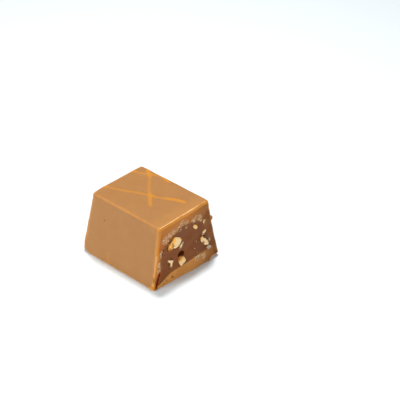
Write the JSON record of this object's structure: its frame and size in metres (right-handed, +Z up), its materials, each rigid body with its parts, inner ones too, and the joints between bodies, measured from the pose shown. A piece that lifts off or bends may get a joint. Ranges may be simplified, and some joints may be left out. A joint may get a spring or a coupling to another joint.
{
  "type": "praline chocolate",
  "caption": "Cut half of a moulded praline chocolate with sloping sides: a pale chocolate shell with orange drizzle on top, a nut praline filling with chopped hazelnuts and a closing layer.",
  "frame": {"origin": "the middle of the piece's underside, on the surface that it rests on", "axes": "+X from the moulded end to the cut face, +Y across the bar towards its back, +Z up through the drizzled top"},
  "size_m": [0.0242, 0.0202, 0.0154],
  "materials": {
    "caramel_chocolate": "pale caramel chocolate, satin, with orange drizzle lines in low relief on top",
    "closing_chocolate": "broken caramel chocolate, dull and slightly crumbly",
    "praline": "brown nut praline, smooth and slightly greasy where the knife passed",
    "hazelnut": "chopped roasted hazelnut, cream with toasted edges, dull"
  },
  "bodies": {
    "root": {"shell": "caramel_chocolate", "filling": "praline", "closing_layer": "closing_chocolate", "hazelnut_large": "hazelnut", "hazelnut_low": "hazelnut", "hazelnut_left": "hazelnut", "hazelnut_back": "hazelnut", "hazelnut_back_low": "hazelnut", "hazelnut_back_high": "hazelnut", "hazelnut_middle": "hazelnut", "hazelnut_top": "hazelnut", "hazelnut_edge": "hazelnut"}
  },
  "joints": []
}
